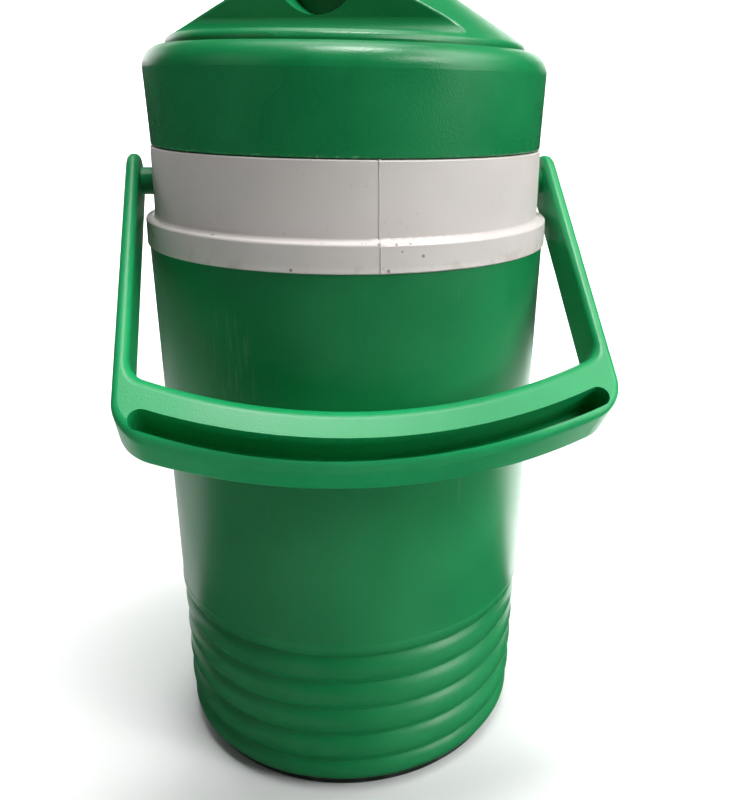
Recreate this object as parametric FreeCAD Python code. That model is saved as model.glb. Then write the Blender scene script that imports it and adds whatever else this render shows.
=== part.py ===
"""Half-gallon insulated drinks jug: ribbed green shell, white collar, bail handle, screw lid.

Millimetres. +Z is up, the foot stands on z = 0 and the jug's axis is the Z axis. The handle pivots
about a line along X and rests forward, towards -Y. The front of the lid's hub is turned by LID_TURN.
"""
import FreeCAD, Part
import math
import os

V = FreeCAD.Vector
ORIGIN = V(0, 0, 0)
UP = V(0, 0, 1)

# Outer shell
BASE_R = 60.7            # flat underside of the shell
FOOT_R = 60.3            # rubber ring that the jug stands on
FOOT_BORE_R = 54.0
FOOT_H = 3.0
SHELL_WALL = 2.3
RIB_Z0 = 12.2            # lowest crease
RIB_PITCH = 10.85
RIB_CREASES = 5
RIB_CREASE_R0 = 61.9     # lowest crease
RIB_CREASE_R1 = 62.8     # highest crease
RIB_BULGE = 2.35         # how far a rib stands out of its creases
CREASE_ROUND = 0.9
WALL_R0 = 65.4           # smooth wall just above the ribs
WALL_R1 = 68.5           # smooth wall under the collar
SHELL_TOP = 186.2        # shoulder that the collar's flange sits over
SHELL_LIP = 195.0        # lip inside the flange

# Collar band
FLANGE_R = 69.2
FLANGE_Z0 = 186.4
FLANGE_Z1 = 195.1
BAND_R = 66.2
COLLAR_TOP = 218.0
COLLAR_WALL = 2.6
LIP_R = 65.9             # outside of the shell's lip
SOCKET_R = 7.6           # outside of a pivot socket

# Liner and neck
LINER_R = 54.0           # inside
LINER_WALL = 1.8
LINER_FLOOR = 19.0
NECK_R = 57.0            # outside of the neck
NECK_TOP = 240.6

# Screw thread: two starts
THREAD_LEAD = 18.0
THREAD_STARTS = 2
THREAD_HALF = 1.5        # half of a ridge's height at its root
NECK_RIDGE_R = 59.0
LID_RIDGE_R = 57.8
NECK_RIDGE_Z = 225.0     # middle of a neck ridge where it starts
LID_RIDGE_DROP = 4.1     # how far the lid's ridges run below the neck's

# Handle
PIVOT_Z = 206.0
REST_LEAN = 49.5         # degrees forward of hanging straight down
PIN_R = 4.55
PIN_HOLE_R = 4.6
ARM_IN = 69.9
ARM_OUT = 74.2
ARM_HALF_DEPTH = 9.0
GRIP_IN = 96.2           # pivot to the grip's inner face, on the centre line
GRIP_OUT = 114.9
GRIP_OUT_R = 182.0       # radius of the grip's outer bow
POCKET_LOW = 2.2         # lip outside the pocket
POCKET_TALL = 6.5
POCKET_DEEP = 14.6
POCKET_END = 69.4        # half length of the pocket
ARM_ROUND = 2.0          # edges of the arms
GRIP_ROUND = 4.0         # edges of the grip
CORNER_OUT = 14.0        # corners of the U
CORNER_IN = 7.0

# Lid
LID_Z0 = 218.3
LID_R0 = 66.0            # lower edge
LID_R = 67.0             # widest
LID_WIDEST = 242.3
SHOULDER_Z = 249.4
DISC_R = 59.4
DISC_TOP = 252.5         # floor of the scoops
DISC_ROUND = 2.0
LID_WALL = 2.4
HUB_TOP = 273.2
HUB_R = 57.3             # the hub's cone at DISC_TOP
HUB_SLOPE = 32.0         # degrees
HUB_HALF = 27.0          # half thickness of the hub across its two scoops
SCOOP_ROUND = 5.0        # foot of a scoop
LID_TURN = -27.0         # degrees that the tightened lid is turned from the handle's front
LINER_SKIRT_R = 63.3
LINER_BORE_R = 60.0
LID_PLATE_Z = 242.9
LID_PLATE = 2.0
GASKET_H = 2.0

# Spout
NOTCH_R = 14.0
NOTCH_Z = 272.2          # centre of the notch's round bottom
NOTCH_BACK = -15.0
SPOUT_Y = -1.0
SPOUT_R = 6.6            # inside of the tube
TUBE_R = 8.6
CAP_HALF = 12.7
CAP_FLOOR = 267.2        # floor of the cap's seat
CAP_GAP = 0.4
HINGE_Y = 13.5
HINGE_Z = 270.4
HINGE_R = 1.5


def section(points):
    """A closed face in the XZ plane from points (radius, z); a 3-point entry is an arc."""
    edges = []
    last = V(points[0][0], 0, points[0][1])
    for entry in points[1:] + [points[0]]:
        if len(entry) == 4:
            middle, end = V(entry[0], 0, entry[1]), V(entry[2], 0, entry[3])
            edges.append(Part.Arc(last, middle, end).toShape())
        else:
            end = V(entry[0], 0, entry[1])
            if end.distanceToPoint(last) < 1e-6:
                continue
            edges.append(Part.LineSegment(last, end).toShape())
        last = end
    return Part.Face(Part.Wire(edges))


def turned(points):
    """The section of points, turned round the Z axis."""
    return section(points).revolve(ORIGIN, UP, 360)


def cylinder(radius, z0, z1, x=0.0, y=0.0):
    return Part.makeCylinder(radius, z1 - z0, V(x, y, z0), UP)


def box(x0, x1, y0, y1, z0, z1):
    return Part.makeBox(x1 - x0, y1 - y0, z1 - z0, V(x0, y0, z0))


def corner(centre_r, centre_z, radius, start, end):
    """Arc entry for section(): from the last point, by angles in degrees from +X towards +Z."""
    middle = math.radians((start + end) / 2)
    last = math.radians(end)
    return (centre_r + radius * math.cos(middle), centre_z + radius * math.sin(middle),
            centre_r + radius * math.cos(last), centre_z + radius * math.sin(last))


def crease(i):
    """Radius and height of the rib crease i, counted from the lowest."""
    step = (RIB_CREASE_R1 - RIB_CREASE_R0) / (RIB_CREASES - 1)
    return RIB_CREASE_R0 + i * step, RIB_Z0 + i * RIB_PITCH


def rib_curve(i):
    """One rib: an arc from its lower crease to the next one."""
    low, high = crease(i), crease(i + 1)
    return arc(low, ((low[0] + high[0]) / 2 + RIB_BULGE, (low[1] + high[1]) / 2), high)


def line(a, b):
    return Part.LineSegment(V(a[0], 0, a[1]), V(b[0], 0, b[1])).toShape()


def arc(a, m, b):
    return Part.Arc(V(a[0], 0, a[1]), V(m[0], 0, m[1]), V(b[0], 0, b[1])).toShape()


def shell_inside():
    """Inner profile of the shell, from the axis at the base up to the lip."""
    low, high = crease(0), crease(RIB_CREASES - 1)
    return [(0, FOOT_H + SHELL_WALL), (BASE_R - SHELL_WALL, FOOT_H + SHELL_WALL),
            (low[0] - SHELL_WALL, low[1]), (high[0] - SHELL_WALL, high[1]),
            (WALL_R0 - SHELL_WALL, high[1] + 6), (WALL_R1 - SHELL_WALL, SHELL_TOP - 5),
            (LIP_R - SHELL_WALL, SHELL_TOP - 2)]


def outer_shell():
    """Ribbed shell with a flat base and a lip for the collar."""
    low, high = crease(0), crease(RIB_CREASES - 1)
    wall = (WALL_R0, high[1] + 5.5)
    edges = [line((0, FOOT_H), (BASE_R, FOOT_H)),
             arc((BASE_R, FOOT_H), (low[0] + 1.7, 6.8), low)]
    for i in range(RIB_CREASES - 1):
        edges.append(rib_curve(i))
    edges.append(arc(high, (WALL_R0 - 0.35, high[1] + 2.0), wall))
    points = [wall, (WALL_R1, SHELL_TOP), (LIP_R, SHELL_TOP), (LIP_R, SHELL_LIP),
              (LIP_R - SHELL_WALL, SHELL_LIP)] + shell_inside()[::-1] + [(0, FOOT_H)]
    for start, end in zip(points, points[1:]):
        edges.append(line(start, end))
    shell = Part.Face(Part.Wire(edges)).revolve(ORIGIN, UP, 360)
    creases = [e for e in shell.Edges if is_crease(e)]
    shell = shell.makeFillet(CREASE_ROUND, creases)
    return shell.cut(cylinder(6.0, FOOT_H - 1, FOOT_H + SHELL_WALL + 1))


def is_crease(edge):
    """True for a circular edge that lies in one of the shell's creases."""
    if edge.Curve.TypeId != "Part::GeomCircle":
        return False
    for i in range(RIB_CREASES):
        radius, z = crease(i)
        if abs(edge.Curve.Radius - radius) < 0.01 and abs(edge.Curve.Center.z - z) < 0.01:
            return True
    return False


def foot_ring():
    """Dark rubber ring under the base, rounded where it stands on the ground."""
    return turned([(FOOT_BORE_R, FOOT_H), (FOOT_BORE_R, 1.0), (FOOT_BORE_R + 1.0, 0),
                   (FOOT_R - 1.0, 0), corner(FOOT_R - 1.0, 1.0, 1.0, -90, 0), (FOOT_R, FOOT_H)])


def foam_fill_plug():
    """Plug that closes the hole the foam is poured through, flush under the base."""
    stem = cylinder(6.0, FOOT_H, FOOT_H + SHELL_WALL)
    head = cylinder(9.0, FOOT_H - 1.2, FOOT_H)
    return stem.fuse(head).removeSplitter()


def inner_liner():
    """White liner: straight cup, then a neck with the outside thread."""
    outer = LINER_R + LINER_WALL
    floor = LINER_FLOOR
    cup = turned([(0, floor - LINER_WALL), (outer - 8, floor - LINER_WALL),
                  corner(outer - 8, floor - LINER_WALL + 8, 8, -90, 0),
                  (outer, COLLAR_TOP - 2.6), (NECK_R, COLLAR_TOP - 1.6), (NECK_R, NECK_TOP - 0.8),
                  corner(NECK_R - 0.8, NECK_TOP - 0.8, 0.8, 0, 90),
                  (LINER_R + 0.8, NECK_TOP),
                  corner(LINER_R + 0.8, NECK_TOP - 0.8, 0.8, 90, 180),
                  (LINER_R, floor + 6.2),
                  corner(LINER_R - 6.2, floor + 6.2, 6.2, 0, -90), (0, floor)])
    ridges = [thread_ridge(NECK_R - 0.6, NECK_RIDGE_R, NECK_RIDGE_Z, 9.5, start)
              for start in range(THREAD_STARTS)]
    return cup.fuse(ridges).removeSplitter()


def thread_ridge(root_r, tip_r, z, rise, start):
    """One helical ridge of the lid's screw thread, from its root in the wall to its tip."""
    step = 1.0 if tip_r > root_r else -1.0
    tip_half = THREAD_HALF - 0.5
    helix = Part.makeHelix(THREAD_LEAD, rise, root_r)
    helix.translate(V(0, 0, z))
    points = [V(root_r, 0, z - THREAD_HALF), V(tip_r, 0, z - tip_half),
              V(tip_r, 0, z + tip_half), V(root_r, 0, z + THREAD_HALF)]
    if step < 0:
        points.reverse()
    profile = Part.makePolygon(points + [points[0]])
    ridge = Part.Wire(helix).makePipeShell([profile], True, True)
    ridge.rotate(ORIGIN, UP, 360.0 / THREAD_STARTS * start)
    return ridge


def body_foam():
    """Foam cast between the shell and the liner."""
    outer = LINER_R + LINER_WALL
    floor = LINER_FLOOR - LINER_WALL
    return turned(shell_inside() + [(LIP_R - SHELL_WALL, SHELL_LIP - 0.3), (outer, SHELL_LIP - 0.3),
                                    (outer, floor + 8), corner(outer - 8, floor + 8, 8, 0, -90),
                                    (0, floor)])


def collar_band():
    """White collar: a flange over the shell's lip, a plain band and a plate round the neck."""
    inner = BAND_R - COLLAR_WALL
    ring = turned([(LIP_R + 0.15, FLANGE_Z0), (FLANGE_R - 0.4, FLANGE_Z0),
                   corner(FLANGE_R - 0.4, FLANGE_Z0 + 0.4, 0.4, -90, 0),
                   (FLANGE_R, FLANGE_Z1 - 0.7), corner(FLANGE_R - 0.7, FLANGE_Z1 - 0.7, 0.7, 0, 90),
                   (BAND_R + 1.2, FLANGE_Z1), corner(BAND_R + 1.2, FLANGE_Z1 + 1.2, 1.2, 270, 180),
                   (BAND_R, COLLAR_TOP - 0.4), corner(BAND_R - 0.4, COLLAR_TOP - 0.4, 0.4, 0, 90),
                   (NECK_R + 0.15, COLLAR_TOP), (NECK_R + 0.15, COLLAR_TOP - 1.4),
                   (LINER_R + LINER_WALL + 0.3, COLLAR_TOP - 2.8), (inner, COLLAR_TOP - 2.8),
                   (inner, SHELL_LIP + 0.2), (LIP_R + 0.15, SHELL_LIP + 0.2)])
    for side in (-1, 1):
        ring = ring.fuse(socket(side, SOCKET_R, LINER_R + LINER_WALL + 0.4, inner + 0.6))
    for side in (-1, 1):
        ring = ring.cut(socket(side, PIN_R + 1.3, LINER_R + LINER_WALL + 2.2, inner - 0.2))
        ring = ring.cut(socket(side, PIN_HOLE_R, inner - 1, FLANGE_R + 2))
    return ring.removeSplitter()


def socket(side, radius, x0, x1):
    """A round bar along the handle's pivot line, on one side of the jug."""
    return Part.makeCylinder(radius, x1 - x0, V(side * x0, 0, PIVOT_Z), V(side, 0, 0))


def grip_arc_point(radius, x):
    """Distance from the pivot of the bow of the given radius, at x across the handle."""
    centre = GRIP_OUT - GRIP_OUT_R
    return centre + math.sqrt(radius * radius - x * x)


def handle_outline(inside, outside, r_in, r_out, low):
    """Face of the U in the handle's own plane: x across, z down from the pivot."""
    centre = GRIP_OUT - GRIP_OUT_R

    def point(x, s):
        return V(x, 0, -s)

    def bow(radius, x):
        middle = point(0, centre + radius)
        return Part.Arc(point(x, grip_arc_point(radius, x)), middle,
                        point(-x, grip_arc_point(radius, x))).toShape()

    return [Part.LineSegment(point(inside, low), point(outside, low)).toShape(),
            Part.LineSegment(point(outside, low), point(outside, grip_arc_point(r_out, outside))).toShape(),
            bow(r_out, outside),
            Part.LineSegment(point(-outside, grip_arc_point(r_out, outside)), point(-outside, low)).toShape(),
            Part.LineSegment(point(-outside, low), point(-inside, low)).toShape(),
            Part.LineSegment(point(-inside, low), point(-inside, grip_arc_point(r_in, inside))).toShape(),
            bow(r_in, -inside),
            Part.LineSegment(point(inside, grip_arc_point(r_in, inside)), point(inside, low)).toShape()]


def bail_handle():
    """U-shaped strap handle, its grip bowed away from the pivots with a long blind pocket."""
    grip = GRIP_OUT - GRIP_IN
    r_in = GRIP_OUT_R - grip
    depth = ARM_HALF_DEPTH
    face = Part.Face(Part.Wire(handle_outline(ARM_IN, ARM_OUT, r_in, GRIP_OUT_R, -depth - 1)))
    bar = face.extrude(V(0, 2 * depth, 0))
    bar.translate(V(0, -depth, 0))
    upright = [e for e in bar.Edges if len(e.Vertexes) == 2
               and abs(e.Vertexes[0].Point.y - e.Vertexes[1].Point.y) > depth]
    low = -GRIP_IN * 0.7
    bar = bar.makeFillet(CORNER_OUT, [e for e in upright if abs(e.Vertexes[0].Point.x) > ARM_OUT - 0.01
                                and e.Vertexes[0].Point.z < low])
    inner = [e for e in bar.Edges if len(e.Vertexes) == 2
             and abs(e.Vertexes[0].Point.y - e.Vertexes[1].Point.y) > depth
             and abs(abs(e.Vertexes[0].Point.x) - ARM_IN) < 0.01 and e.Vertexes[0].Point.z < low]
    bar = bar.makeFillet(CORNER_IN, inner)
    ends = box(-ARM_OUT - 1, ARM_OUT + 1, -depth - 1, depth + 1, -GRIP_OUT - 5, 0)
    eye = Part.makeCylinder(depth, 2 * ARM_OUT + 2, V(-ARM_OUT - 1, 0, 0), V(1, 0, 0))
    bar = bar.common(ends.fuse(eye)).removeSplitter()
    bar = rounded_strap(bar, depth)
    bar = bar.cut(grip_pocket())
    for side in (-1, 1):
        bar = bar.fuse(Part.makeCylinder(PIN_R, ARM_IN - BAND_R + COLLAR_WALL + 4.0,
                                         V(side * (ARM_IN + 0.5), 0, 0), V(-side, 0, 0)))
        bar = bar.fuse(Part.makeCylinder(PIN_R + 0.9, 3.2, V(side * (BAND_R - COLLAR_WALL - 0.5), 0, 0),
                                         V(-side, 0, 0)))
    bar.rotate(ORIGIN, V(1, 0, 0), -REST_LEAN)
    bar.translate(V(0, 0, PIVOT_Z))
    return bar


def rounded_strap(bar, depth):
    """The strap with its edges rounded: small on the arms, growing round the corners to the grip."""
    document = FreeCAD.newDocument("strap")
    base = document.addObject("Part::Feature", "bar")
    base.Shape = bar
    rounding = document.addObject("Part::Fillet", "rounding")
    rounding.Base = base
    radii = []
    for number, edge in enumerate(bar.Edges, 1):
        if is_rim(edge, depth):
            first, last = [edge_round(v.Point) for v in edge.Vertexes]
            if edge.Orientation == "Reversed":
                first, last = last, first
            radii.append((number, first, last))
    rounding.Edges = radii
    document.recompute()
    shape = rounding.Shape.copy()
    FreeCAD.closeDocument(document.Name)
    return shape


def edge_round(point):
    """Radius of the rounding at a vertex: the ends of the bows lie nearer the middle than the arms."""
    if abs(point.x) < ARM_IN - 1:
        return GRIP_ROUND
    return ARM_ROUND


def is_rim(edge, depth):
    """True for an edge that runs round the strap's front or back face, or round an eye."""
    ys = [abs(v.Point.y) for v in edge.Vertexes]
    middle = edge.valueAt((edge.FirstParameter + edge.LastParameter) / 2)
    if min(ys) < depth - 0.01:
        return False
    if abs(abs(middle.y) - depth) < 0.01:
        return True
    return middle.z > 1.0


def grip_pocket():
    """The long blind pocket in the grip's front face, with round ends."""
    centre = GRIP_OUT - GRIP_OUT_R
    outer = GRIP_OUT_R - POCKET_LOW
    inner = outer - POCKET_TALL
    middle = (outer + inner) / 2
    swing = math.asin((POCKET_END - POCKET_TALL / 2) / middle)

    def at(radius, angle):
        return V(radius * math.sin(angle), 0, -(centre + radius * math.cos(angle)))

    end = POCKET_TALL / 2

    def cap(sign):
        mid = at(middle, sign * swing)
        return V(mid.x + sign * end * math.cos(swing), 0, mid.z + end * math.sin(swing))

    wire = Part.Wire([Part.Arc(at(outer, -swing), at(outer, 0), at(outer, swing)).toShape(),
                      Part.Arc(at(outer, swing), cap(1), at(inner, swing)).toShape(),
                      Part.Arc(at(inner, swing), at(inner, 0), at(inner, -swing)).toShape(),
                      Part.Arc(at(inner, -swing), cap(-1), at(outer, -swing)).toShape()])
    pocket = Part.Face(wire).extrude(V(0, POCKET_DEEP + 1, 0))
    pocket.translate(V(0, -ARM_HALF_DEPTH - 1, 0))
    floor = [e for e in pocket.Edges if min(v.Point.y for v in e.Vertexes) > POCKET_DEEP - ARM_HALF_DEPTH - 0.01]
    return pocket.makeFillet(1.5, floor)


def hub_radius(z):
    """Radius of the lid hub's cone at height z."""
    return HUB_R - (z - DISC_TOP) / math.tan(math.radians(HUB_SLOPE))


def scoops(half, z0, tall):
    """The two cuts that leave the hub as a bar across the lid."""
    cutters = []
    for side in (-1, 1):
        cutter = box(-80, 80, half, half + 60, z0, z0 + tall)
        foot = [e for e in cutter.Edges if abs(e.CenterOfMass.y - half) < 0.01
                and abs(e.CenterOfMass.z - z0) < 0.01]
        cutter = cutter.makeFillet(SCOOP_ROUND, foot)
        if side < 0:
            cutter.rotate(ORIGIN, UP, 180)
        cutters.append(cutter)
    return cutters[0].fuse(cutters[1])


def lid_outside():
    """Outer form of the lid: skirt, round shoulder, disc and the hub's cone."""
    shoulder = SHOULDER_Z - LID_WIDEST
    edge = DISC_R - DISC_ROUND
    meet = math.radians(90 - HUB_SLOPE)
    cone_r = edge + DISC_ROUND * math.cos(meet)
    cone_z = DISC_TOP - (cone_r - HUB_R) * math.tan(math.radians(HUB_SLOPE))
    centre_z = cone_z - DISC_ROUND * math.sin(meet)
    body = turned([(0, LID_Z0), (LID_R0 - 0.5, LID_Z0), (LID_R0, LID_Z0 + 0.5), (LID_R, LID_WIDEST),
                   corner(LID_R - shoulder, LID_WIDEST, shoulder, 0, 90),
                   (DISC_R, SHOULDER_Z), (DISC_R, centre_z),
                   corner(edge, centre_z, DISC_ROUND, 0, 90 - HUB_SLOPE),
                   (hub_radius(HUB_TOP), HUB_TOP), (0, HUB_TOP)])
    body = body.cut(scoops(HUB_HALF, DISC_TOP, 40))
    crests = [e for e in body.Edges if e.CenterOfMass.z > DISC_TOP + 6
              and abs(abs(e.CenterOfMass.y) - HUB_HALF) < 0.05]
    if crests:
        body = body.makeFillet(1.0, crests)
    return body


def lid_cavity():
    """Hollow of the lid shell, open below: wide under the shoulder, narrow in the hub."""
    inside = LID_R0 - LID_WALL
    roof = SHOULDER_Z - LID_WALL
    lower = turned([(0, LID_Z0 - 1), (inside - 0.3, LID_Z0 - 1), (inside + 0.4, LID_WIDEST - 1),
                    corner(inside - 4.6, LID_WIDEST - 1 + 0.0, 5.0, 0, 90), (0, LID_WIDEST + 4)])
    drop = LID_WALL / math.cos(math.radians(HUB_SLOPE))
    cone = turned([(0, roof - 4), (DISC_R - LID_WALL - 6, roof - 4), (hub_radius(roof + drop), roof),
                   (hub_radius(HUB_TOP - LID_WALL + drop), HUB_TOP - LID_WALL), (0, HUB_TOP - LID_WALL)])
    bar = box(-70, 70, -HUB_HALF + LID_WALL, HUB_HALF - LID_WALL, roof, HUB_TOP)
    disc = cylinder(DISC_R - LID_WALL, roof - 4, DISC_TOP - LID_WALL)
    inside_disc = cylinder(DISC_R - LID_WALL, roof - 4, HUB_TOP)
    cone = cone.common(bar.common(inside_disc).fuse(disc))
    block = box(-CAP_HALF - 5, CAP_HALF + 5, -HUB_HALF, 21.5, NOTCH_Z - NOTCH_R - 3, HUB_TOP)
    return lower.fuse(cone).cut(block)


def spout_cuts():
    """Pour notch at the front, seat for the cap, and the hole for the spout tube."""
    notch = Part.makeCylinder(NOTCH_R, 30, V(0, NOTCH_BACK, NOTCH_Z), V(0, -1, 0))
    throat = box(-NOTCH_R, NOTCH_R, NOTCH_BACK - 30, NOTCH_BACK, NOTCH_Z, HUB_TOP + 1)
    seat = box(-CAP_HALF - CAP_GAP, CAP_HALF + CAP_GAP, NOTCH_BACK - 0.5, 18.6, CAP_FLOOR, HUB_TOP + 1)
    uprights = [e for e in seat.Edges if abs(e.CenterOfMass.z - (CAP_FLOOR + HUB_TOP + 1) / 2) < 0.01
                and e.CenterOfMass.y > 0]
    seat = seat.makeFillet(2.0, uprights)
    hole = cylinder(TUBE_R, LID_Z0, CAP_FLOOR + 1, 0, SPOUT_Y)
    return [notch, throat, seat, hole]


def lid_shell():
    """Green outside of the lid with its hub, pour notch and cap seat."""
    shell = lid_outside().cut(lid_cavity())
    for cutter in spout_cuts():
        shell = shell.cut(cutter)
    shell = shell.cut(Part.makeCylinder(HINGE_R, 2 * CAP_HALF + 7, V(-CAP_HALF - 3.5, HINGE_Y, HINGE_Z),
                                        V(1, 0, 0)))
    return shell.removeSplitter()


def lid_liner():
    """White inside of the lid: a pan with the inside thread."""
    top = LID_PLATE_Z + LID_PLATE
    pan = turned([(0, LID_PLATE_Z), (LINER_BORE_R, LID_PLATE_Z), (LINER_BORE_R, LID_Z0 + 1.6),
                  (LINER_BORE_R + 0.6, LID_Z0 + 1.0), (LINER_SKIRT_R, LID_Z0 + 1.0),
                  (LINER_SKIRT_R, LID_WIDEST - 1.5), (LINER_SKIRT_R - 3.5, top), (0, top)])
    pan = pan.cut(cylinder(TUBE_R, LID_PLATE_Z - 1, top + 1, 0, SPOUT_Y))
    ridges = [thread_ridge(LINER_BORE_R + 0.6, LID_RIDGE_R, NECK_RIDGE_Z - LID_RIDGE_DROP, 10.5, start)
              for start in range(THREAD_STARTS)]
    return pan.fuse(ridges).removeSplitter()


def lid_foam():
    """Foam that fills the lid between its shell and its liner."""
    top = LID_PLATE_Z + LID_PLATE
    foam = lid_cavity().common(cylinder(LINER_SKIRT_R - 3.5, top, HUB_TOP))
    return foam.cut(cylinder(TUBE_R, LID_Z0, HUB_TOP, 0, SPOUT_Y))


def lid_gasket():
    """Flat ring that seals the lid on the neck's rim."""
    z0 = LID_PLATE_Z - GASKET_H
    return turned([(LINER_R - 1.5, z0 + 0.4), (LINER_R - 1.1, z0), (LINER_BORE_R - 0.9, z0),
                   (LINER_BORE_R - 0.5, z0 + 0.4), (LINER_BORE_R - 0.5, LID_PLATE_Z - 0.02),
                   (LINER_R - 1.5, LID_PLATE_Z - 0.02)])


def spout_tube():
    """Tube from inside the jug to the cap's seat, with a rim under the lid liner."""
    tube = cylinder(TUBE_R, LID_PLATE_Z - 1.4, CAP_FLOOR, 0, SPOUT_Y)
    rim = cylinder(TUBE_R + 2.2, LID_PLATE_Z - 1.4, LID_PLATE_Z, 0, SPOUT_Y)
    bore = cylinder(SPOUT_R, LID_PLATE_Z - 3, CAP_FLOOR + 1, 0, SPOUT_Y)
    return tube.fuse(rim).cut(bore).removeSplitter()


def spout_cap():
    """Flip cap over the spout: a slab with a knuckle behind, a lift lip and a tapered plug."""
    floor = CAP_FLOOR + CAP_GAP
    top = HINGE_Z + (HINGE_Z - floor)
    half = HINGE_Z - floor
    slab = box(-CAP_HALF, CAP_HALF, NOTCH_BACK - 4.5, HINGE_Y, floor, top)
    front = [e for e in slab.Edges if abs(e.CenterOfMass.z - HINGE_Z) < 0.01 and e.CenterOfMass.y < 0]
    slab = slab.makeFillet(6.0, front)
    rim = [e for e in slab.Edges if abs(e.CenterOfMass.z - top) < 0.01 and e.CenterOfMass.y < HINGE_Y - 0.01]
    slab = slab.makeFillet(1.0, rim)
    slab = slab.common(box(-NOTCH_R + 0.4, NOTCH_R - 0.4, NOTCH_BACK - 30, NOTCH_BACK, floor, top + 1)
                       .fuse(box(-CAP_HALF, CAP_HALF, NOTCH_BACK, HINGE_Y + 1, floor, top + 1)))
    knuckle = Part.makeCylinder(half, 2 * CAP_HALF, V(-CAP_HALF, HINGE_Y, HINGE_Z), V(1, 0, 0))
    plug = Part.makeCone(4.8, 6.3, 4.0, V(0, SPOUT_Y, floor - 4.0), UP)
    cap = slab.fuse(knuckle).fuse(plug)
    cap = cap.cut(Part.makeCylinder(HINGE_R + 0.05, 2 * CAP_HALF + 2, V(-CAP_HALF - 1, HINGE_Y, HINGE_Z),
                                    V(1, 0, 0)))
    return cap.removeSplitter()


def spout_cap_pin():
    """Steel pin that the cap turns on, held at both ends in the hub."""
    return Part.makeCylinder(HINGE_R, 2 * CAP_HALF + 7, V(-CAP_HALF - 3.5, HINGE_Y, HINGE_Z), V(1, 0, 0))


STANDING = [outer_shell, foot_ring, foam_fill_plug, body_foam, inner_liner, collar_band, bail_handle]
LID_PARTS = [lid_shell, lid_foam, lid_liner, lid_gasket, spout_tube, spout_cap, spout_cap_pin]


def main():
    os.makedirs("parts", exist_ok=True)
    for make in STANDING + LID_PARTS:
        shape = make()
        if make in LID_PARTS:
            shape.rotate(ORIGIN, UP, LID_TURN)
        if not shape.isValid() or len(shape.Solids) != 1:
            raise RuntimeError("%s: valid %s, solids %d" % (make.__name__, shape.isValid(),
                                                            len(shape.Solids)))
        shape.Solids[0].exportStep("parts/%s.step" % make.__name__)
        print("%-16s %10.0f mm3" % (make.__name__, shape.Volume))


main()
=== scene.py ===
"""Looks of the insulated drinks jug: finishes for the moulded pieces, their mould marks and the stage."""
import math

import bmesh
import bpy
from bpy.props import FloatProperty, FloatVectorProperty, PointerProperty
from mathutils import Matrix, Vector


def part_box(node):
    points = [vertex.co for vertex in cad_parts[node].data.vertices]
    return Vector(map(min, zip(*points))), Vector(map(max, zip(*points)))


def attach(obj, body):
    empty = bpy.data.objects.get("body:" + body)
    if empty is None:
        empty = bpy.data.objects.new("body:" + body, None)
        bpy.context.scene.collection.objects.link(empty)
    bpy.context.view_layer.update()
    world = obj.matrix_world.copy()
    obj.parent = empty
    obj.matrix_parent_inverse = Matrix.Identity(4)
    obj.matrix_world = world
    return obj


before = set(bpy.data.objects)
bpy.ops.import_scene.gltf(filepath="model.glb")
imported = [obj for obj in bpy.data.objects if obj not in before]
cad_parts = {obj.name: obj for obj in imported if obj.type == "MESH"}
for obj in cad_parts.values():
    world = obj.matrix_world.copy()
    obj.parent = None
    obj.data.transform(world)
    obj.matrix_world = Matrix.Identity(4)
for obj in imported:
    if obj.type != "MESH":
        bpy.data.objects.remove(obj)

bl_info = {
    "name": "Drinks Jug Looks",
    "version": (1, 0, 0),
    "blender": (4, 5, 0),
    "location": "View3D > Sidebar > Jug",
    "description": "Finishes the moulded pieces of an insulated drinks jug and sets its stage",
    "category": "Object",
}

MM = 0.001
POLYETHYLENE_IOR = 1.51
SEAM_TURN = math.radians(1.1)   # the collar's parting line, round from the front
FLANGE_RISE = 8.7 * MM          # from the collar's lower edge to the top of its flange
RIDGE_DEEP = 0.36 * MM          # the seam's long ridges, through the face they stand on
LUMP_DEEP = 1.2 * MM            # the lumps of flash at the seam's ends
LONG_EDGE = 2 * MM              # edges of the seam over this length waver
WORLD_FILL = 0.035              # the room as a light
WORLD_SEEN = 0.85               # the room as the camera sees it
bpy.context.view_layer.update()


def linear(code):
    """Linear RGB from an sRGB hex code such as "1e8a4c"."""
    out = []
    for i in (0, 2, 4):
        part = int(code[i:i + 2], 16) / 255
        out.append(part / 12.92 if part <= 0.04045 else ((part + 0.055) / 1.055) ** 2.4)
    return tuple(out)


def add_node(tree, kind, settings=None, links=None):
    """A node of that kind. settings are its attributes; links give each input a socket or a value."""
    node = tree.nodes.new(kind)
    for key, value in (settings or {}).items():
        setattr(node, key, value)
    for key, value in (links or {}).items():
        socket = node.inputs[key]
        if isinstance(value, bpy.types.NodeSocket):
            tree.links.new(value, socket)
        else:
            socket.default_value = value
    return node


def new_material(name):
    """An empty node material and its tree."""
    material = bpy.data.materials.new(name)
    material.use_nodes = True
    material.node_tree.nodes.clear()
    return material, material.node_tree


def object_coords(tree):
    return add_node(tree, "ShaderNodeTexCoord").outputs["Object"]


def stretched(tree, coords, scale):
    """Object coordinates scaled by scale, in features per metre along X, Y and Z."""
    return add_node(tree, "ShaderNodeMapping", {}, {"Vector": coords, "Scale": scale}).outputs[0]


def noise(tree, vector, scale=1.0, detail=2.0, rough=0.5):
    links = {"Vector": vector, "Scale": scale, "Detail": detail, "Roughness": rough}
    return add_node(tree, "ShaderNodeTexNoise", {}, links).outputs["Fac"]


def ramp(tree, value, low, high, out_low=0.0, out_high=1.0):
    """value from low..high to out_low..out_high, smooth and clamped."""
    links = {"Value": value, "From Min": low, "From Max": high, "To Min": out_low, "To Max": out_high}
    settings = {"interpolation_type": "SMOOTHSTEP", "clamp": True}
    return add_node(tree, "ShaderNodeMapRange", settings, links).outputs["Result"]


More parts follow.
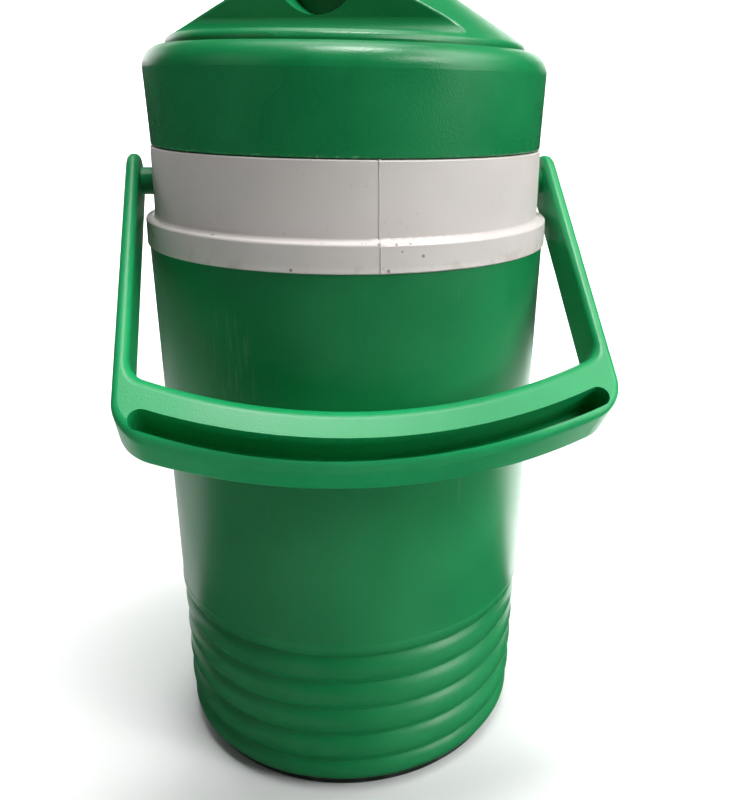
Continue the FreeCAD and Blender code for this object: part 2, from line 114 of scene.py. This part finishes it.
def maths(tree, operation, a, b=0.0):
    return add_node(tree, "ShaderNodeMath", {"operation": operation}, {0: a, 1: b}).outputs[0]


def mixed(tree, factor, a, b, blend="MIX"):
    """Colour a with b laid over it by factor."""
    settings = {"data_type": "RGBA", "blend_type": blend}
    node = add_node(tree, "ShaderNodeMix", settings)
    for index, value in ((0, factor), (6, a), (7, b)):
        if isinstance(value, bpy.types.NodeSocket):
            tree.links.new(value, node.inputs[index])
        elif index == 0:
            node.inputs[index].default_value = value
        else:
            node.inputs[index].default_value = (*value, 1.0)
    return node.outputs[2]


def bumped(tree, height, distance, strength=1.0, under=None):
    links = {"Height": height, "Distance": distance, "Strength": strength}
    if under is not None:
        links["Normal"] = under
    return add_node(tree, "ShaderNodeBump", {}, links).outputs[0]


def near(tree, coords, centre, reach):
    """1 inside an egg-shaped patch of the given centre and reach in metres, fading to 0 outside it."""
    scale = tuple(1.0 / r for r in reach)
    shift = tuple(-c * k for c, k in zip(centre, scale))
    local = add_node(tree, "ShaderNodeMapping", {}, {"Vector": coords, "Scale": scale, "Location": shift})
    length = add_node(tree, "ShaderNodeVectorMath", {"operation": "LENGTH"}, {0: local.outputs[0]})
    return ramp(tree, length.outputs["Value"], 0.6, 1.1, 1.0, 0.0)


def height_of(tree, coords):
    return add_node(tree, "ShaderNodeSeparateXYZ", {}, {"Vector": coords}).outputs[2]


def finish_material(tree, colour, roughness, normal, ior, specular=0.5):
    links = {"Base Color": colour, "Roughness": roughness, "IOR": ior, "Specular IOR Level": specular}
    if normal is not None:
        links["Normal"] = normal
    shader = add_node(tree, "ShaderNodeBsdfPrincipled", {}, links)
    add_node(tree, "ShaderNodeOutputMaterial", {}, {"Surface": shader.outputs[0]})


def moulded_green(name, green, rough=0.36, scratch=0.5, rubs=(), burr_height=None, grain_depth=0.07,
                  specular=0.45):
    """Satin moulded polyethylene: a fine grain in the mould and the scuffs of years of carrying.

    rubs are (centre, reach, lines per metre along X, Y and Z) of patches that something rubbed often.
    burr_height is the height of an edge where the trimmed flash shows as pale nicks, and grain_depth
    is the depth of the mould's grain in mm.
    """
    material, tree = new_material(name)
    coords = object_coords(tree)
    cloudy = noise(tree, coords, 22.0, 3.0)          # clouds about 45 mm wide
    mottled = noise(tree, coords, 420.0, 2.0)        # mottling about 2.4 mm wide
    grain = noise(tree, coords, 1900.0, 2.0, 0.6)    # grains about 0.5 mm wide
    wavy = noise(tree, coords, 38.0, 1.0)            # sinks and swells about 26 mm wide
    dark = tuple(c * 0.88 for c in green)
    pale = tuple(min(1.0, c * 1.10 + 0.003) for c in green)
    colour = mixed(tree, ramp(tree, cloudy, 0.3, 0.7), dark, pale)
    colour = mixed(tree, ramp(tree, mottled, 0.45, 0.75, 0.0, 0.12), colour, dark)
    # Scuffs about 1.3 mm apart and 45 mm long, in patches about 30 to 40 mm wide.
    streak = noise(tree, stretched(tree, coords, (750.0, 750.0, 22.0)), 1.0, 2.0, 0.65)
    patch = noise(tree, stretched(tree, coords, (34.0, 34.0, 24.0)), 1.0, 2.0)
    lines = maths(tree, "MULTIPLY", ramp(tree, streak, 0.68, 0.76), ramp(tree, patch, 0.52, 0.66))
    for centre, reach, spacing in rubs:
        rubbed = noise(tree, stretched(tree, coords, spacing), 1.0, 2.0, 0.6)
        rubbed = maths(tree, "MULTIPLY", ramp(tree, rubbed, 0.56, 0.68), near(tree, coords, centre, reach))
        lines = maths(tree, "MAXIMUM", lines, rubbed)
    worn = tuple(c * 0.8 + 0.10 for c in green)
    colour = mixed(tree, maths(tree, "MULTIPLY", lines, scratch), colour, worn)
    if burr_height is not None:
        height = height_of(tree, coords)
        edge = ramp(tree, height, burr_height + 0.5 * MM, burr_height + 1.1 * MM, 1.0, 0.0)
        ragged = noise(tree, coords, 520.0, 3.0, 0.7)
        burrs = maths(tree, "MULTIPLY", edge, ramp(tree, ragged, 0.55, 0.64))
        colour = mixed(tree, maths(tree, "MULTIPLY", burrs, 0.5), colour, linear("6fb58c"))
    roughness = maths(tree, "ADD", ramp(tree, cloudy, 0.3, 0.7, rough - 0.05, rough + 0.05),
                      maths(tree, "MULTIPLY", lines, 0.15))
    normal = bumped(tree, wavy, 0.35 * MM, 0.5)
    normal = bumped(tree, grain, grain_depth * MM, 0.6, normal)
    finish_material(tree, colour, roughness, normal, POLYETHYLENE_IOR, specular)
    return material


def aged_white(name, white, low):
    """Satin white polyethylene, warm with age, with specks and a little soil near its lower edge.

    low is the height of that edge.
    """
    material, tree = new_material(name)
    coords = object_coords(tree)
    cloudy = noise(tree, coords, 26.0, 3.0)
    grain = noise(tree, coords, 1700.0, 2.0, 0.6)
    dark = tuple(c * 0.90 for c in white)
    colour = mixed(tree, ramp(tree, cloudy, 0.3, 0.72), white, dark)
    height = height_of(tree, coords)
    near_low = ramp(tree, height, low, low + 6 * MM, 1.0, 0.0)
    soil = maths(tree, "MULTIPLY", near_low, ramp(tree, noise(tree, coords, 140.0, 4.0, 0.6), 0.46, 0.72))
    colour = mixed(tree, maths(tree, "MULTIPLY", soil, 0.40), colour, linear("9b8d7b"))
    specks = add_node(tree, "ShaderNodeTexVoronoi", {}, {"Vector": coords, "Scale": 300.0})
    dots = ramp(tree, specks.outputs["Distance"], 0.12, 0.18, 1.0, 0.0)
    rare = ramp(tree, noise(tree, coords, 80.0, 1.0), 0.54, 0.58)
    spots = maths(tree, "MULTIPLY", maths(tree, "MULTIPLY", dots, rare),
                  ramp(tree, height, low + 8 * MM, low + 12 * MM, 1.0, 0.12))
    colour = mixed(tree, maths(tree, "MULTIPLY", spots, 0.75), colour, linear("6e5136"))
    nicked = maths(tree, "MULTIPLY", noise(tree, coords, 620.0, 3.0, 0.7),
                   ramp(tree, height, low, low + 2.0 * MM, 1.0, 0.0))
    normal = bumped(tree, cloudy, 0.30 * MM, 0.4)
    normal = bumped(tree, nicked, 0.35 * MM, 0.8, normal)
    normal = bumped(tree, grain, 0.05 * MM, 0.5, normal)
    finish_material(tree, colour, ramp(tree, cloudy, 0.3, 0.7, 0.36, 0.46), normal,
                    POLYETHYLENE_IOR)
    return material


def clean_white(name, white):
    """Smooth food-grade polyethylene, with faint flow clouds."""
    material, tree = new_material(name)
    coords = object_coords(tree)
    cloudy = noise(tree, coords, 30.0, 2.0)
    colour = mixed(tree, ramp(tree, cloudy, 0.3, 0.7), white, tuple(c * 0.93 for c in white))
    normal = bumped(tree, noise(tree, coords, 1400.0, 2.0), 0.03 * MM, 0.4)
    finish_material(tree, colour, ramp(tree, cloudy, 0.3, 0.7, 0.26, 0.34), normal, POLYETHYLENE_IOR)
    return material


def cast_foam(name):
    """Rigid cast polyurethane foam: cream, with cells about 0.6 mm wide."""
    material, tree = new_material(name)
    coords = object_coords(tree)
    cells = add_node(tree, "ShaderNodeTexVoronoi", {}, {"Vector": coords, "Scale": 1600.0})
    colour = mixed(tree, cells.outputs["Distance"], linear("c9a762"), linear("ead9a8"))
    normal = bumped(tree, cells.outputs["Distance"], 0.2 * MM, 0.8)
    finish_material(tree, colour, 0.85, normal, 1.45)
    return material


def moulded_seal(name):
    """Soft grey moulded rubber with a fine matt bloom."""
    material, tree = new_material(name)
    coords = object_coords(tree)
    bloom = noise(tree, coords, 300.0, 3.0)
    colour = mixed(tree, bloom, linear("55585a"), linear("6d7072"))
    normal = bumped(tree, noise(tree, coords, 1500.0), 0.05 * MM, 0.5)
    finish_material(tree, colour, ramp(tree, bloom, 0.3, 0.7, 0.55, 0.7), normal, 1.52)
    return material


def black_rubber_with_painted_shadow(name):
    """Nearly black moulded rubber of the foot: matt, with a dusty bloom and a fine sandy grain. Its
    near-black colour is partly painted shadow, standing for the contact shadow under the base.
    """
    material, tree = new_material(name)
    coords = object_coords(tree)
    dust = noise(tree, coords, 120.0, 4.0, 0.6)
    colour = mixed(tree, ramp(tree, dust, 0.45, 0.75), linear("161917"), linear("3c403b"))
    normal = bumped(tree, noise(tree, coords, 1600.0), 0.06 * MM, 0.6)
    finish_material(tree, colour, ramp(tree, dust, 0.3, 0.7, 0.6, 0.8), normal, 1.52)
    return material


def drawn_steel(name):
    """Plain drawn steel wire with fine lines along the drawing direction."""
    material, tree = new_material(name)
    coords = object_coords(tree)
    lines = noise(tree, stretched(tree, coords, (60.0, 1800.0, 1800.0)), 1.0, 2.0)
    colour = mixed(tree, lines, linear("9a9c9e"), linear("c2c4c6"))
    shader = add_node(tree, "ShaderNodeBsdfPrincipled", {}, {
        "Base Color": colour, "Metallic": 1.0, "Roughness": ramp(tree, lines, 0.3, 0.7, 0.25, 0.38),
        "Normal": bumped(tree, lines, 0.02 * MM, 0.5)})
    add_node(tree, "ShaderNodeOutputMaterial", {}, {"Surface": shader.outputs[0]})
    return material


def dress(node, material):
    """Gives a CAD node its finish in every material slot."""
    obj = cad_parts[node]
    obj.data.materials.clear()
    obj.data.materials.append(material)


class JugColours(bpy.types.PropertyGroup):
    shell: FloatVectorProperty(name="Shell green", description="Green of the shell and lid",
                               subtype="COLOR", min=0, max=1, default=linear("0a7c44"))
    handle: FloatVectorProperty(name="Handle green", description="Green of the bail handle",
                                subtype="COLOR", min=0, max=1, default=linear("129757"))
    collar: FloatVectorProperty(name="Collar white", description="Warm white of the collar",
                                subtype="COLOR", min=0, max=1, default=linear("d2ccc8"))
    liner: FloatVectorProperty(name="Liner white", description="White of the liner and lid pan",
                               subtype="COLOR", min=0, max=1, default=linear("e6e6e2"))


class JugStage(bpy.types.PropertyGroup):
    distance: FloatProperty(name="Camera distance", description="From the jug's axis to the camera",
                            subtype="DISTANCE", unit="LENGTH", default=309.5 * MM)
    height: FloatProperty(name="Camera height", description="Camera above the floor",
                          subtype="DISTANCE", unit="LENGTH", default=236.0 * MM)
    around: FloatProperty(name="Camera turn", description="Camera's place round the jug from the front",
                          subtype="ANGLE", unit="ROTATION", default=math.radians(-6.2))
    pan: FloatProperty(name="Camera pan", description="Turn of the view to the right of the axis",
                       subtype="ANGLE", unit="ROTATION", default=math.radians(5.13))
    tilt: FloatProperty(name="Camera tilt", description="View below level",
                        subtype="ANGLE", unit="ROTATION", default=math.radians(17.25))
    roll: FloatProperty(name="Camera roll", description="Turn of the view about its own line",
                        subtype="ANGLE", unit="ROTATION", default=math.radians(1.07))
    lens: FloatProperty(name="Lens", description="Focal length in mm", default=38.7)


class JUG_OT_green_mouldings(bpy.types.Operator):
    """Finishes the shell, the lid and the cap in satin green, and the foot in black rubber that partly
    paints the shadow under the base
    """
    bl_idname = "jug.green_mouldings"
    bl_label = "Green mouldings"

    def execute(self, context):
        green = tuple(context.scene.jug_colours.shell)
        handle_rub = ((-43 * MM, -51 * MM, 158 * MM), (13 * MM, 13 * MM, 20 * MM), (1300.0, 1300.0, 45.0))
        dress("outer_shell", moulded_green("moulded_green_polyethylene_shell", green, 0.36, 0.5,
                                           (handle_rub,)))
        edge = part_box("lid_shell")[0].z
        scrape = ((44 * MM, -51 * MM, edge + 11 * MM), (9 * MM, 9 * MM, 1.2 * MM), (60.0, 60.0, 1500.0))
        lid = moulded_green("moulded_green_polyethylene_lid", green, 0.30, 0.4, (scrape,), edge, 0.11)
        dress("lid_shell", lid)
        dress("spout_cap", moulded_green("moulded_green_polyethylene_cap", green, 0.38, 0.4))
        # The foot's near-black is partly painted shadow: it stands for the dark strip of shadow under the
        # front of the base.
        dress("foot_ring", black_rubber_with_painted_shadow("moulded_black_rubber_foot_painted_shadow"))
        return {"FINISHED"}


class JUG_OT_handle(bpy.types.Operator):
    """Finishes the bail handle"""
    bl_idname = "jug.handle"
    bl_label = "Bail handle"

    def execute(self, context):
        green = tuple(context.scene.jug_colours.handle)
        dress("bail_handle", moulded_green("moulded_green_polypropylene_handle", green, 0.36, 0.3,
                                           specular=0.35))
        return {"FINISHED"}


class JUG_OT_collar(bpy.types.Operator):
    """Finishes the white collar and the plug under the base, and adds the collar's mould seams"""
    bl_idname = "jug.collar"
    bl_label = "Collar"

    def execute(self, context):
        low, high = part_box("collar_band")
        white = aged_white("aged_white_polyethylene_collar", tuple(context.scene.jug_colours.collar),
                           low.z)
        dress("collar_band", white)
        dress("foam_fill_plug", white)
        # Painted shade: the flash's colour is a little darker and browner than the collar's, standing in for
        # the shade beside the seam's ridge.
        flash = aged_white("soiled_white_polyethylene_flash_with_painted_shade", linear("cfc7be"), low.z)
        self.seam("collar_seam_front", SEAM_TURN, low.z, high.z, flash)
        self.seam("collar_seam_back", SEAM_TURN + math.pi, low.z, high.z, flash)
        return {"FINISHED"}

    def seam(self, name, turn, low, high, material):
        """Raised line that the two halves of the mould left, with flash at its top and on the flange."""
        bm = bmesh.new()
        flange_top = low + FLANGE_RISE
        # Each is a radius, a lowest and a highest point, a width and a depth.
        band_ridge = (66.2 * MM, flange_top - 0.3 * MM, high - 0.4 * MM, 0.24 * MM, RIDGE_DEEP)
        flange_ridge = (69.2 * MM, low + 0.5 * MM, flange_top - 0.7 * MM, 0.42 * MM, RIDGE_DEEP)
        flange_lump = (67.8 * MM, flange_top - 0.35 * MM, flange_top + 0.25 * MM, 0.55 * MM, LUMP_DEEP)
        top_lump = (65.9 * MM, high - 1.0 * MM, high + 0.15 * MM, 0.5 * MM, LUMP_DEEP)
        for radius, z0, z1, wide, deep in (band_ridge, flange_ridge, flange_lump, top_lump):
            tall = z1 - z0
            place = Matrix.Translation((0.0, -radius, (z0 + z1) / 2))
            made = bmesh.ops.create_cube(bm, size=1.0)["verts"]
            bmesh.ops.scale(bm, verts=made, vec=(wide, deep, tall))
            bmesh.ops.transform(bm, matrix=place, verts=made)
        long_edges = [e for e in bm.edges if abs(e.verts[0].co.z - e.verts[1].co.z) > LONG_EDGE]
        bmesh.ops.subdivide_edges(bm, edges=long_edges, cuts=9)
        for vert in bm.verts:
            vert.co.x += 0.05 * MM * math.sin(vert.co.z / MM * 1.7) * math.sin(vert.co.z / MM * 0.6)
        bmesh.ops.bevel(bm, geom=list(bm.edges), offset=0.07 * MM, affect="EDGES", segments=2,
                        profile=0.5, material=-1)
        bmesh.ops.rotate(bm, verts=bm.verts, matrix=Matrix.Rotation(turn, 3, "Z"))
        mesh = bpy.data.meshes.new(name)
        bm.to_mesh(mesh)
        bm.free()
        mesh.shade_smooth()
        mesh.materials.append(material)
        piece = bpy.data.objects.new(name, mesh)
        bpy.context.scene.collection.objects.link(piece)
        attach(piece, "jug")


class JUG_OT_inside(bpy.types.Operator):
    """Finishes the liner, the lid's inside, the foam, the seal and the pin"""
    bl_idname = "jug.inside"
    bl_label = "Inside pieces"

    def execute(self, context):
        white = clean_white("food_grade_white_polyethylene", tuple(context.scene.jug_colours.liner))
        foam = cast_foam("cast_polyurethane_foam")
        for node in ("inner_liner", "lid_liner", "spout_tube"):
            dress(node, white)
        for node in ("body_foam", "lid_foam"):
            dress(node, foam)
        dress("lid_gasket", moulded_seal("moulded_grey_rubber_seal"))
        dress("spout_cap_pin", drawn_steel("drawn_steel_pin"))
        return {"FINISHED"}


def area_light(name, place, target, size, power, spread=180.0):
    """A rectangular soft light, hidden from the camera, with a grid that narrows it to spread."""
    data = bpy.data.lights.new(name, "AREA")
    data.shape = "RECTANGLE"
    data.size, data.size_y = size
    data.energy = power
    data.spread = math.radians(spread)
    obj = bpy.data.objects.new(name, data)
    obj.visible_camera = False
    bpy.context.scene.collection.objects.link(obj)
    aim = (Vector(target) - Vector(place)).to_track_quat("-Z", "Y")
    obj.matrix_world = Matrix.Translation(place) @ aim.to_matrix().to_4x4()
    return obj


class JUG_OT_stage(bpy.types.Operator):
    """Makes the floor, the sweep behind it, the lights, the world and the camera"""
    bl_idname = "jug.stage"
    bl_label = "Stage"

    def execute(self, context):
        stage = context.scene.jug_stage
        self.sweep()
        context.scene.world = self.room()
        middle = (0.0, 0.0, 0.15)
        area_light("floor_softbox", (0.0, 0.55, 1.30), (0.0, 0.42, 0.0), (0.8, 0.5), 1.5, 70.0)
        area_light("top_softbox", (0.02, -0.16, 1.20), (0.02, -0.02, 0.0), (0.36, 0.22), 8.5)
        area_light("high_right_softbox", (0.60, -0.10, 1.00), (0.0, 0.0, 0.20), (0.5, 0.5), 4.0)
        area_light("front_softbox", (0.42, -0.50, 0.75), (0.0, 0.0, 0.20), (0.36, 0.24), 2.2)
        area_light("right_softbox", (0.75, -0.42, 0.60), middle, (0.5, 0.6), 3.0)
        area_light("low_right_softbox", (0.50, -0.36, 0.22), (0.02, 0.0, 0.05), (0.25, 0.20), 0.07, 28.0)
        area_light("left_softbox", (-0.80, -0.30, 0.60), middle, (0.5, 0.5), 0.4)
        area_light("backdrop_light", (0.0, 0.7, 1.6), (0.0, 1.8, 0.5), (1.6, 0.5), 36.0, 120.0)
        area_light("floor_card_left", (-0.20, 0.20, 0.01), (-0.20, 0.20, 1.0), (0.30, 0.35), 0.34)
        area_light("floor_card_right", (0.20, 0.20, 0.01), (0.20, 0.20, 1.0), (0.30, 0.35), 1.0)
        area_light("back_card_left", (-0.45, 0.9, 0.45), middle, (0.5, 0.3), 1.2)
        area_light("back_card_right", (0.45, 0.9, 0.45), middle, (0.5, 0.3), 1.6)
        context.scene.view_settings.view_transform = "Standard"
        self.camera(context, stage)
        return {"FINISHED"}

    def room(self):
        """A world that looks pale and lights the jug only faintly."""
        world = bpy.data.worlds.new("studio_white")
        world.use_nodes = True
        tree = world.node_tree
        tree.nodes.clear()
        white = (1.0, 1.0, 1.0, 1.0)
        fill = add_node(tree, "ShaderNodeBackground", {}, {"Color": white, "Strength": WORLD_FILL})
        seen = add_node(tree, "ShaderNodeBackground", {}, {"Color": white, "Strength": WORLD_SEEN})
        direct = add_node(tree, "ShaderNodeLightPath").outputs["Is Camera Ray"]
        both = add_node(tree, "ShaderNodeMixShader", {}, {0: direct, 1: fill.outputs[0], 2: seen.outputs[0]})
        add_node(tree, "ShaderNodeOutputWorld", {}, {"Surface": both.outputs[0]})
        return world

    def sweep(self):
        """Pale floor that curves up into a backdrop, painted a darker grey towards the front as shade. The
        gloss on the jug doesn't mirror it.
        """
        bm = bmesh.new()
        radius, far, tall, wide = 0.6, 1.2, 3.0, 4.0
        path = [(-3.0, 0.0), (far, 0.0)]
        steps = 16
        for i in range(1, steps + 1):
            a = math.pi / 2 * i / steps
            path.append((far + radius * math.sin(a), radius - radius * math.cos(a)))
        path.append((far + radius, tall))
        verts = [bm.verts.new((-wide, y, z)) for y, z in path]
        edges = [bm.edges.new(pair) for pair in zip(verts, verts[1:])]
        out = bmesh.ops.extrude_edge_only(bm, edges=edges)
        moved = [v for v in out["geom"] if isinstance(v, bmesh.types.BMVert)]
        bmesh.ops.translate(bm, verts=moved, vec=(2 * wide, 0, 0))
        bmesh.ops.recalc_face_normals(bm, faces=bm.faces)
        mesh = bpy.data.meshes.new("studio_sweep")
        bm.to_mesh(mesh)
        bm.free()
        mesh.shade_smooth()
        obj = bpy.data.objects.new("studio_sweep", mesh)
        bpy.context.scene.collection.objects.link(obj)
        material, tree = new_material("matt_white_paper_painted_shade")
        coords = object_coords(tree)
        along = add_node(tree, "ShaderNodeSeparateXYZ", {}, {"Vector": coords}).outputs[1]
        paper = mixed(tree, noise(tree, coords, 3.0), linear("f0f0f0"), linear("f6f6f6"))
        # Painted shade: the paper is painted a darker grey from behind the jug towards the camera, as if the
        # front of the floor lay in shade.
        colour = mixed(tree, ramp(tree, along, -0.22, 0.10), linear("d8d8d8"), paper)
        finish_material(tree, colour, 0.9, None, 1.45)
        mesh.materials.append(material)
        obj.visible_glossy = False

    def camera(self, context, stage):
        data = bpy.data.cameras.new("front_camera")
        data.lens = stage.lens
        data.clip_start = 0.01
        data.shift_x = -0.0665
        data.shift_y = -0.050
        obj = bpy.data.objects.new("front_camera", data)
        context.scene.collection.objects.link(obj)
        place = Vector((math.sin(stage.around) * stage.distance,
                        -math.cos(stage.around) * stage.distance, stage.height))
        heading = stage.pan - stage.around
        forward = Vector((math.sin(heading) * math.cos(stage.tilt),
                          math.cos(heading) * math.cos(stage.tilt), -math.sin(stage.tilt)))
        right = Vector((math.cos(heading), -math.sin(heading), 0.0))
        up = right.cross(forward)
        side = math.cos(stage.roll) * right + math.sin(stage.roll) * up
        top = -math.sin(stage.roll) * right + math.cos(stage.roll) * up
        turn = Matrix((side, top, -forward)).transposed().to_4x4()
        obj.matrix_world = Matrix.Translation(place) @ turn
        context.scene.camera = obj


class JUG_PT_panel(bpy.types.Panel):
    """Lists the jug's colours, the camera's settings and the pieces"""
    bl_idname = "JUG_PT_panel"
    bl_label = "Drinks Jug"
    bl_space_type = "VIEW_3D"
    bl_region_type = "UI"
    bl_category = "Jug"

    def draw(self, context):
        for name in ("shell", "handle", "collar", "liner"):
            self.layout.prop(context.scene.jug_colours, name)
        for name in ("distance", "height", "around", "pan", "tilt", "roll", "lens"):
            self.layout.prop(context.scene.jug_stage, name)
        for operator in PIECES:
            self.layout.operator(operator.bl_idname)


PIECES = (JUG_OT_green_mouldings, JUG_OT_handle, JUG_OT_collar, JUG_OT_inside, JUG_OT_stage)
CLASSES = (JugColours, JugStage, *PIECES, JUG_PT_panel)


def register():
    for cls in CLASSES:
        bpy.utils.register_class(cls)
    bpy.types.Scene.jug_colours = PointerProperty(type=JugColours)
    bpy.types.Scene.jug_stage = PointerProperty(type=JugStage)


def unregister():
    del bpy.types.Scene.jug_stage
    del bpy.types.Scene.jug_colours
    for cls in reversed(CLASSES):
        bpy.utils.unregister_class(cls)


def main():
    register()
    bpy.ops.jug.green_mouldings()
    bpy.ops.jug.handle()
    bpy.ops.jug.collar()
    bpy.ops.jug.inside()
    bpy.ops.jug.stage()


if __name__ == "__main__":
    main()
